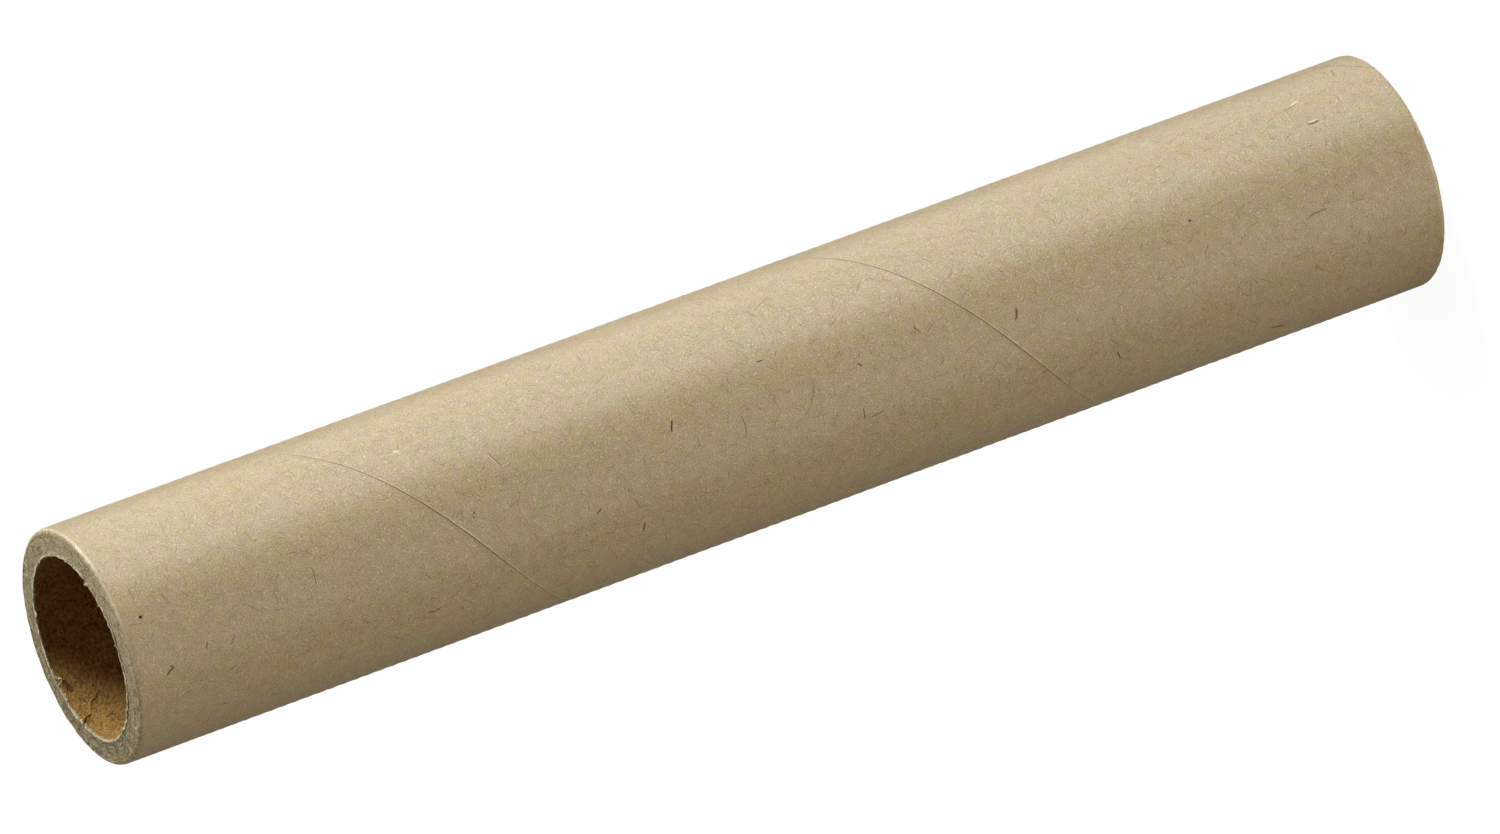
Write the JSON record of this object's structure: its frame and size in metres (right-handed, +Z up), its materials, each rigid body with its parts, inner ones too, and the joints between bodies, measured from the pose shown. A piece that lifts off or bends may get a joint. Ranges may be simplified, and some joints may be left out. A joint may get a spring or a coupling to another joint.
{
  "type": "cardboard mailing tube",
  "caption": "Spiral-wound paper tube, open at both ends, with a thick grey board wall, a khaki kraft wrap and a brown kraft liner, for posting rolled sheets.",
  "frame": {"origin": "centre of the lower cut end, on the tube's axis, where the tube stands", "axes": "+Z up the tube's axis; +X is the side that the picture shows uppermost, from which the seam angles are counted"},
  "size_m": [0.05, 0.05, 0.305],
  "materials": {
    "brown_kraft": "matte",
    "grey_board": "matte",
    "khaki_kraft": "matte"
  },
  "bodies": {
    "root": {"wrap": "khaki_kraft", "board_wall": "grey_board", "liner": "brown_kraft"}
  },
  "joints": []
}
